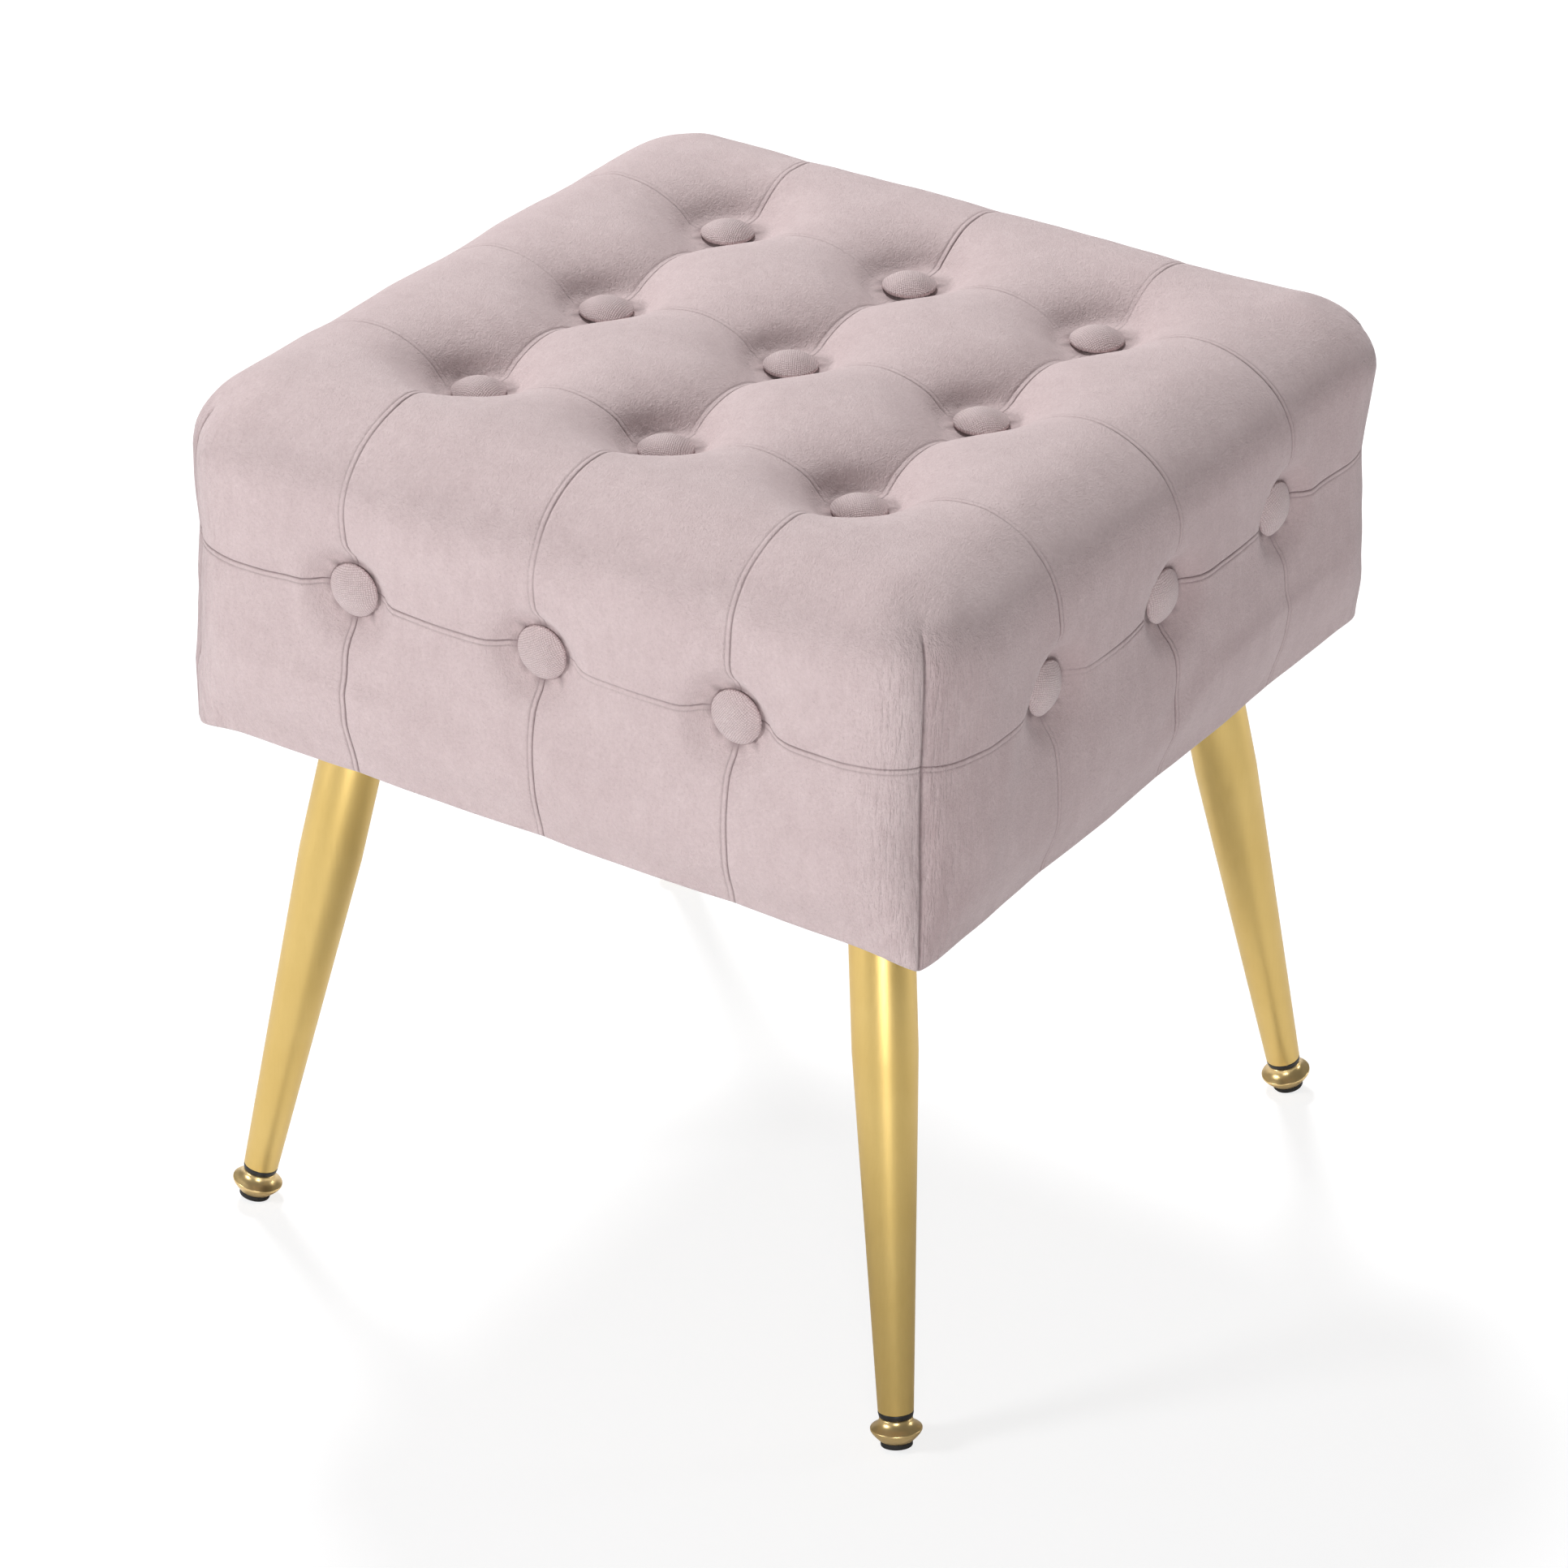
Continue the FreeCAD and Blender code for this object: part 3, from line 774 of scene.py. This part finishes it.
def corner_seams(place, on_top):
    """The corner seams' grooves, and the mask of the puckers beside them, which gets bumps and
    painted light and shade.
    """
    x, y, z = np.abs(place[..., 0]), np.abs(place[..., 1]), place[..., 2]
    off_seam = np.abs(x - y) / sqrt(2)
    at_corner = (x > core_half) & (y > core_half)
    below_top = 1 - rise(z, seam_top_z - seam_fade, seam_top_z)
    groove = hump(off_seam, seam_width) * below_top * at_corner
    puckered = (x > pucker_start) & (y > pucker_start)
    return groove, np.where(puckered, hump(off_seam, pucker_width), 0) * (1 - on_top)


def leaning(place, on_top):
    """How far the top leans back and sags at its back and left, less its full back corner."""
    x, y = place[..., 0], place[..., 1]
    sag = np.maximum(back_sag * rise(y, *sag_run), left_sag * rise(-x, *sag_run))
    off_corner = np.linalg.norm(place - np.array(corner_fill_spot), axis=-1)
    lean = top_drop + top_lean * y / core_half
    return on_top * (lean + sag) - corner_fill * hump(off_corner, corner_fill_width)


def tuck(place):
    """How far padding is drawn in at places, with the painted shade of their creases, seams and
    button rims, and their puckers.
    """
    depth, rim_shade = button_tufts(place)
    on_top = rise(place[..., 2], crown_z - edge_round, crown_z - edge_round * 0.1)
    crease_strength = crease_strength_middle + crease_strength_swing * slow_noise(place, crease_strength_size, 3.0)
    aside = sway * slow_noise(place, sway_size, 9.0)
    # painted shade, strongest on the crease lines, the seam grooves and where the cloth meets the
    # button rims
    crease = np.zeros_like(depth)
    for line, valley, boldness, width, power in pleats_over(place, on_top):
        depth += (valley + (1 - on_top) * side_valley) * hump(line, width, power)
        bold = crease_strength * (boldness * on_top + 1 - on_top)
        deep = hump(line + aside - pleat_half, crease_width) * bold
        fine = hump(line + aside + pleat_half, crease_width) * bold
        depth += crease_depth * deep + fine_crease_depth * fine
        crease = np.maximum(crease, np.maximum(deep, fine * fine_crease_shade))
    groove, puckers = corner_seams(place, on_top)
    depth += seam_depth * groove
    crease = np.maximum(np.maximum(crease, groove * seam_shade), rim_shade)
    depth += leaning(place, on_top)
    deepest = np.where(
        on_top > 0.5,
        crown_z - button_seat_z + cloth_below_button,
        seat_half + side_swell - side_button_seat + cloth_behind_button,
    )
    spare = deepest - depth
    depth = deepest - (spare + np.sqrt(spare ** 2 + dive_stop)) / 2
    lumps = slow_noise(place, lump_size) + 0.5 * slow_noise(place, small_lump_size)
    return depth - lump_depth * lumps, crease, puckers


def run_lines(stations, ends, steps=pleat_steps, widest=widest_step):
    """Run lengths across a face, close together at each pleat or seam and wide between them."""
    lines = set(ends)
    for station in stations:
        for step in steps:
            lines.update((round(station - step, 3), round(station + step, 3)))
    lines = sorted(line for line in lines if min(ends) <= line <= max(ends))
    spread = [lines[0]]
    for line in lines[1:]:
        start = spread[-1]
        parts = max(1, round((line - start) / widest))
        spread += [start + (line - start) * part / parts for part in range(1, parts + 1)]
    return np.array(spread)


def five_faces(lines, down):
    """The kind, run lengths and turn of each face: the top, then the four sides."""
    return [("top", lines, 0)] + [("side", down, turns * pi / 2) for turns in range(4)]


def cushion_face(side, lines_p, lines_q, turn):
    """Points, painted crease shade and puckers of one face of the cushion, turned to its place."""
    p, q = np.meshgrid(lines_p, lines_q, indexing="ij")
    place, way = plain_form(side, p, q)
    turner = np.array(Matrix.Rotation(turn, 3, "Z")).T
    depth, crease, puckers = tuck(place @ turner)
    return (place - way * depth[..., None]) @ turner, crease, puckers


def quads(grid):
    """The faces between the numbered points of a grid."""
    corners = [grid[:-1, :-1], grid[1:, :-1], grid[1:, 1:], grid[:-1, 1:]]
    return np.stack(corners, -1).reshape(-1, 4).tolist()


def coarse_cushion():
    """The cushion in wide steps: its points, its faces, and each face's run lengths and numbers."""
    lines = run_lines(pleats, (-half_run, half_run), (0,), cloth_step)
    down = run_lines([button_run], (0.0, side_run), (0,), cloth_step)
    places, numbers, faces, grids = [], {}, [], []
    for side, rows, turn in five_faces(lines, down):
        points = cushion_face(side, lines, rows, turn)[0]
        grid = np.zeros(points.shape[:2], int)
        for spot in np.ndindex(grid.shape):
            key = tuple(np.round(points[spot] / cloth_weld).astype(int))
            if key not in numbers:
                numbers[key] = len(places)
                places.append(points[spot])
            grid[spot] = numbers[key]
        grids.append((lines, rows, grid))
        faces += quads(grid)
    return np.array(places), faces, grids


def held_shares(places):
    """How firmly the cloth is held: fully at the hem and the buttons, less with height."""
    away = [np.linalg.norm(places - np.array(spot), axis=-1) for spot, *_ in button_spots]
    nearest = np.min(away, 0)
    height = places[:, 2] - places[:, 2].min()
    share = np.maximum(nearest < held_round_button, 1 - height / held_above_hem)
    return np.where(height < 1, 1.0, share)


def fill_padding():
    """Push the cloth out between its buttons by simulation; gives the moves of each coarse face."""
    places, faces, grids = coarse_cushion()
    cloth = new_piece("cloth", places, [], faces)
    close_up(cloth)
    held = cloth.vertex_groups.new(name="held")
    for number, share in enumerate(held_shares(places)):
        held.add([number], float(share), "REPLACE")
    modifier = cloth.modifiers.new("cloth", "CLOTH")
    for name, value in cloth_settings.items():
        setattr(modifier.settings, name, value)
    modifier.settings.effector_weights.gravity = 0
    scene = bpy.context.scene
    for step in range(1, cloth_frames + 1):
        scene.frame_set(step)
    settled = cloth.evaluated_get(bpy.context.evaluated_depsgraph_get()).to_mesh()
    after = np.empty(len(places) * 3)
    settled.vertices.foreach_get("co", after)
    moves = after.reshape(-1, 3) / mm - places
    moves *= cloth_reach / (cloth_reach + np.linalg.norm(moves, axis=-1, keepdims=True))
    scene.frame_set(1)
    bpy.data.objects.remove(cloth)
    return [(lines, rows, moves[grid]) for lines, rows, grid in grids]


def spread_out(lines_p, lines_q, moves, p, q):
    """Moves of a coarse grid at the lines of a fine one, rounded off between them."""
    near_p = np.minimum(p - lines_p[0], lines_p[-1] - p)
    near_q = np.minimum(q - lines_q[0], lines_q[-1] - q)
    total = 0
    for shift_p in rounding_shifts:
        for shift_q in rounding_shifts:
            at_p = p + shift_p * np.minimum(near_p * 2, cloth_step)
            at_q = q + shift_q * np.minimum(near_q * 2, cloth_step)
            planes = moves.transpose(2, 0, 1)
            planes = [[np.interp(at_q, lines_q, line) for line in plane] for plane in planes]
            planes = np.transpose(planes, (0, 2, 1))
            planes = [[np.interp(at_p, lines_p, line) for line in plane] for plane in planes]
            total = total + np.transpose(planes, (2, 1, 0))
    return total / len(rounding_shifts) ** 2


def turned_hem(rim):
    """The rows below a side's last one: rounded under, run in flat, then up to the board."""
    inward = np.clip(rim[:, :2], -core_half, core_half) - rim[:, :2]
    inward /= np.linalg.norm(inward, axis=-1, keepdims=True)
    rows = []
    for share in (0.25, 0.5, 0.75, 1.0):
        row = rim.copy()
        row[:, :2] += inward * bottom_round * (1 - cos(share * pi / 2))
        row[:, 2] -= bottom_round * sin(share * pi / 2)
        rows.append(row)
    edge = rows[-1]
    for share in (0.3, 0.6, 1.0):
        row = edge.copy()
        row[:, :2] += (np.clip(edge[:, :2], -hem_inner, hem_inner) - edge[:, :2]) * share
        rows.append(row)
    lip = rows[-1].copy()
    lip[:, 2] = hem_top_z
    return np.stack(rows + [lip], 1)


def stuffed_cushion():
    """The tufted velvet cushion as one closed form with its hem turned under."""
    lines = run_lines(pleats + [-half_run, half_run], (-half_run, half_run))
    down = run_lines([button_run], (0.0, side_run))
    pushed = fill_padding()
    places, faces = [], []
    marks = {"crease": [], "beside_seam": [], "nap_across": []}
    for index, (side, rows, turn) in enumerate(five_faces(lines, down)):
        points, crease, puckers = cushion_face(side, lines, rows, turn)
        if pushed:
            free = rise(points[..., 2:], underside_z + bottom_round, hem_pull_top_z)
            points = points + spread_out(*pushed[index], lines, rows) * free
        if side == "side":
            hem = turned_hem(points[:, -1])
            points = np.concatenate([points, hem], 1)
            below = ((0, 0), (0, hem.shape[1]))
            crease, puckers = np.pad(crease, below, "edge"), np.pad(puckers, below, "edge")
        below_top = 1 - rise(points[..., 2], side_shade_top_z, crown_z - side_shade_fade)
        faces += quads(len(places) + np.arange(crease.size).reshape(crease.shape))
        places.extend(points.reshape(-1, 3))
        marks["crease"].extend(crease.reshape(-1))
        marks["beside_seam"].extend(puckers.reshape(-1))
        # painted shade: the left and right panels darker below the top's roll
        marks["nap_across"].extend((below_top * (index in (2, 4))).reshape(-1))
    cushion = new_piece("cushion", places, [], faces)
    for name, values in marks.items():
        layer = cushion.data.attributes.new(name, "FLOAT", "POINT")
        layer.data.foreach_set("value", np.array(values, np.float32))
    close_up(cushion, weld=0.05)
    bpy.ops.object.shade_smooth()
    return cushion


cushion = stuffed_cushion()
dress(cushion, "velvet", "seat", "tufted_cover")


# Covered buttons

def covered_button():
    """A cap drawn tight with cloth, its rim turned under in small folds."""
    radius = button_diameter / 2
    rings = [(radius * 0.7, 0.0), (radius * 0.93, 0.2), (radius, 1.1), (radius * 1.005, cap_rim_z)]
    for share in (0.97, 0.92, 0.84, 0.74, 0.62, 0.48, 0.32, 0.16, 0.05):
        level = cap_rim_z + (button_height - cap_rim_z) * (1 - share ** cap_power)
        rings.append((radius * share, level))
    button = drawn_out("button", 72, rings)
    layer = button.data.uv_layers.new(name="weave")
    for loop in button.data.loops:
        layer.data[loop.index].uv = button.data.vertices[loop.vertex_index].co.xy
    for vertex in button.data.vertices:
        turn = np.arctan2(vertex.co.y, vertex.co.x)
        rim = max(0.0, 1 - abs(vertex.co.z / mm - fold_z) / fold_spread)
        vertex.co.xy *= 1 + fold_depth * rim * sin(fold_count * turn)
    smooth(button, 60)
    return button


def set_buttons():
    """Every button in its tuft, each turned a little differently."""
    pattern = covered_button()
    top_copies, side_copies = [], []
    index = 0
    for x in pleats:
        for y in pleats:
            place = Vector((x, y, button_seat_z - button_sink)) * mm
            matrix = Matrix.Translation(place) @ Matrix.Rotation(index * top_button_turn, 4, "Z")
            top_copies.append(copy_to(pattern, matrix, f"top_button_{index}"))
            index += 1
    for turns in range(4):
        for x in pleats:
            place = Vector((x, -side_button_seat, side_button_z)) * mm
            matrix = Matrix.Rotation(turns * pi / 2, 4, "Z") @ Matrix.Translation(place)
            matrix = matrix @ Matrix.Rotation(pi / 2, 4, "X")
            matrix = matrix @ Matrix.Rotation(index * side_button_turn, 4, "Z")
            side_copies.append(copy_to(pattern, matrix, f"side_button_{index}"))
            index += 1
    bpy.data.objects.remove(pattern)
    dress(join(top_copies, "buttons_on_top"), "button_velvet", "seat", "top_buttons")
    dress(join(side_copies, "buttons_on_sides"), "button_velvet", "seat", "side_buttons")


set_buttons()


# Legs and levelling feet, modelled on the leg's own line and then set in place

def leg_matrix(sign_x, sign_y):
    """From a leg's own line, down along -Z from the plate, to its place under the seat."""
    offset = seat_half - leg_inset
    lean = sin(leg_splay) / sqrt(2)
    down = Vector((sign_x * lean, sign_y * lean, -cos(leg_splay)))
    place = Vector((sign_x * offset, sign_y * offset, plate_z)) * mm
    return Matrix.Translation(place) @ down.to_track_quat("-Z", "Y").to_matrix().to_4x4()


def tapered_tube():
    """The leg's tube: straight, then a long taper, then turned in round the plug."""
    inner_radius = leg_end_radius - leg_end_wall
    rings = [(leg_radius, leg_root), (leg_radius, -leg_straight)]
    for share in (0.02, 0.06, 0.12, 1.0):
        ease = share - taper_ease * (1 - share) * share
        level = leg_straight + (tube_length - leg_straight) * share
        rings.append((leg_radius + (leg_end_radius - leg_radius) * ease, -level))
    rings += [(inner_radius, -tube_length), (inner_radius, -tube_length + leg_turn_in)]
    tube = drawn_out("tube", 96, rings)
    soften(tube, 0.25, 2, 50)
    return tube


def moulded_plug():
    """The black plug in the leg's end: a core in the tube, a collar below it and a bore."""
    top = -tube_length
    core_radius = leg_end_radius - leg_end_wall - plug_fit
    bore_radius = stud_radius + plug_bore_gap
    plug = drawn_out("plug", 72, [
        (stud_radius + 0.06, top + plug_reach), (core_radius, top + plug_reach),
        (core_radius, top + 0.02), (leg_end_radius - 0.02, top - 0.02),
        (leg_end_radius - 0.02, top - 0.9),
        (plug_end_radius, top - plug_collar), (bore_radius, top - plug_collar),
        (bore_radius, top + plug_bore_depth),
    ])
    soften(plug, 0.25, 3, 30)
    return plug


def turned_disc():
    """Brass disc: a hollow flare above a thin rim, a shallow cone below."""
    top = -tube_length - plug_collar - foot_gap
    rings = [
        (disc_pin_radius, top - 1.0), (disc_top_radius - disc_lip, top),
        (disc_top_radius, top - disc_lip),
    ]
    for share in (0.2, 0.4, 0.6, 0.8, 1.0):
        flare = disc_top_radius + (disc_radius - disc_top_radius) * share ** flare_power
        rings.append((flare, top - disc_lip - (disc_rim_top - disc_lip) * share))
    rings.append((disc_radius, top - disc_rim_low))
    for share in (0.25, 0.5, 0.75, 1.0):
        cone = disc_radius + (disc_base_radius - disc_radius) * share ** cone_power
        rings.append((cone, top - disc_rim_low - (disc_height - disc_rim_low) * share))
    base = top - disc_height
    rings += [(disc_pin_radius, base), (disc_pin_radius, base + disc_pin_depth)]
    disc = drawn_out("disc", 96, rings)
    soften(disc, 0.2, 3, 30)
    return disc


def threaded_stud():
    """The steel stud with its rolled thread, wound as one screw."""
    top = -tube_length - plug_collar - foot_gap + stud_reach
    low = top - stud_reach - stud_foot
    root = stud_radius - thread_depth
    crest = stud_radius - 0.02
    core = drawn_out("stud", 48, [(root - 0.5, top), (root, top - 0.5), (root, low)])
    flat_low, flat_high = [low + thread_pitch * share for share in thread_flat]
    ridge = [
        (root - 0.1, low), (crest, flat_low), (crest, flat_high), (root - 0.1, low + thread_pitch),
    ]
    points = [(radius, 0, level) for radius, level in ridge]
    thread = new_piece("thread", points, [(0, 1), (1, 2), (2, 3)], [])
    screw = thread.modifiers.new("screw", "SCREW")
    screw.axis = "Z"
    screw.screw_offset = thread_pitch * mm
    screw.iterations = int((stud_reach + thread_run) / thread_pitch) - 1
    screw.steps = screw.render_steps = 40
    screw.use_merge_vertices = True
    screw.merge_threshold = 0.001 * mm
    select_only(thread)
    bpy.ops.object.modifier_apply(modifier="screw")
    close_up(thread)
    stud = join([core, thread], "stud")
    smooth(stud, 30)
    return stud


def rubber_pad():
    """The pad on its pin, before its inner edge is pressed flat."""
    top = -leg_length + pad_thickness
    low = top - pad_thickness
    pad = drawn_out("pad", 72, [
        (pad_pin_radius, top + pad_pin_height), (pad_pin_radius, top),
        (pad_radius - 0.3, top), (pad_radius, top - 0.3),
        (pad_radius, low + 0.5), (pad_radius - 0.15, low + 0.15), (pad_radius - 0.5, low),
    ])
    smooth(pad, 35)
    return pad


def press_flat(pad):
    """Cut a placed pad level with the floor."""
    select_only(pad)
    bpy.ops.object.mode_set(mode="EDIT")
    bpy.ops.mesh.select_all(action="SELECT")
    bpy.ops.mesh.bisect(
        plane_co=(0, 0, 0), plane_no=(0, 0, 1), use_fill=True, clear_inner=True, clear_outer=False
    )
    bpy.ops.object.mode_set(mode="OBJECT")


def set_legs():
    """Four legs and feet from one of each piece, each on the body that carries it."""
    patterns = {
        "tube": tapered_tube(), "plug": moulded_plug(), "disc": turned_disc(),
        "stud": threaded_stud(), "pad": rubber_pad(),
    }
    plugs = []
    for name, signs in LEGS.items():
        matrix = leg_matrix(*signs)
        made = {
            kind: copy_to(pattern, matrix, f"{kind}_{name}") for kind, pattern in patterns.items()
        }
        press_flat(made["pad"])
        dress(made["tube"], "brass_finish", "seat", "leg_tube_" + name)
        dress(made["disc"], "polished_brass", "glide_" + name, "glide_disc_" + name)
        dress(made["stud"], "zinc_steel", "glide_" + name, "glide_stud_" + name)
        dress(made["pad"], "black_rubber", "pad_" + name, "foot_pad_" + name)
        plugs.append(made["plug"])
    dress(join(plugs, "leg_plugs"), "black_plastic", "seat", "foot_plugs")
    for pattern in patterns.values():
        bpy.data.objects.remove(pattern)


set_legs()
paint_frame()


# Floor, light and camera

def lay_floor():
    """A white sweep that the camera sees lit up to white, with the soft shadow left in."""
    deselect()
    bpy.ops.mesh.primitive_plane_add(size=14, location=(0, 0, 0))
    floor = bpy.context.object
    floor.name = floor.data.name = "floor"
    finish = Finish("floor_white")
    grain = finish.noise(40, 2, 0.5)
    seen = finish.node("ShaderNodeLightPath", {}, {}, "Is Camera Ray")
    lit = finish.blend(grain, shade(236, 236, 237), shade(240, 240, 241))
    shown = finish.blend(grain, shade(150, 150, 151), shade(153, 153, 154))
    floor.data.materials.append(finish.surface(
        base_color=finish.blend(seen, lit, shown), roughness=0.9, specular_ior_level=0.0,
        emission_color=finish.blend(seen, (0.0, 0.0, 0.0), (1.0, 1.0, 1.0)),
        emission_strength=floor_glow,
        alpha=1 - finish.node("ShaderNodeNewGeometry", {}, {}, "Backfacing"),
    ))


def set_room():
    """Soft light from all round, with plain white behind for the camera."""
    world = bpy.data.worlds.new("studio")
    bpy.context.scene.world = world
    world.use_nodes = True
    nodes, links = world.node_tree.nodes, world.node_tree.links
    nodes.clear()
    pick = nodes.new("ShaderNodeMixShader")
    links.new(nodes.new("ShaderNodeLightPath").outputs["Is Camera Ray"], pick.inputs[0])
    for socket, strength in ((1, room_light), (2, 1.0)):
        light = nodes.new("ShaderNodeBackground")
        light.inputs["Color"].default_value = (1, 1, 1, 1)
        light.inputs["Strength"].default_value = strength
        links.new(light.outputs[0], pick.inputs[socket])
    output = nodes.new("ShaderNodeOutputWorld")
    links.new(pick.outputs[0], output.inputs["Surface"])


def lamp(name, azimuth, elevation, power):
    """A round soft lamp, so many degrees round from the front and above the floor."""
    data = bpy.data.lights.new(name, "AREA")
    data.shape = "DISK"
    data.size = lamp_size
    data.energy = power
    light = bpy.data.objects.new(name, data)
    turn, climb = radians(azimuth), radians(elevation)
    away = Vector((sin(turn) * cos(climb), -cos(turn) * cos(climb), sin(climb)))
    light.location = away * lamp_distance + Vector((0, 0, lamp_aim_height))
    light.rotation_euler = away.to_track_quat("Z", "Y").to_euler()
    bpy.context.scene.collection.objects.link(light)


def set_camera():
    """The camera at the photograph's place, turned about its own line by the roll."""
    back = Vector((
        sin(camera_azimuth) * cos(camera_elevation),
        -cos(camera_azimuth) * cos(camera_elevation),
        sin(camera_elevation),
    ))
    level = Vector((cos(camera_azimuth), sin(camera_azimuth), 0))
    upright = back.cross(level)
    right = level * cos(camera_roll) + upright * sin(camera_roll)
    up = upright * cos(camera_roll) - level * sin(camera_roll)
    data = bpy.data.cameras.new("camera")
    data.sensor_width = 36
    data.lens = data.sensor_width * camera_focal_pixels / photo_pixels
    data.clip_end = 60
    camera = bpy.data.objects.new("camera", data)
    bpy.context.collection.objects.link(camera)
    turn = Matrix((right, up, back)).transposed().to_4x4()
    camera.matrix_world = Matrix.Translation(camera_place * mm) @ turn
    bpy.context.scene.camera = camera


lay_floor()
set_room()
lamp("front_lamp", 34, 5, 84)
lamp("front_left_lamp", 322, 22, 116)
lamp("back_left_lamp", 228, 50, 216)
lamp("back_right_lamp", 135, 5, 38)
set_camera()
bpy.context.scene.view_settings.view_transform = "Standard"
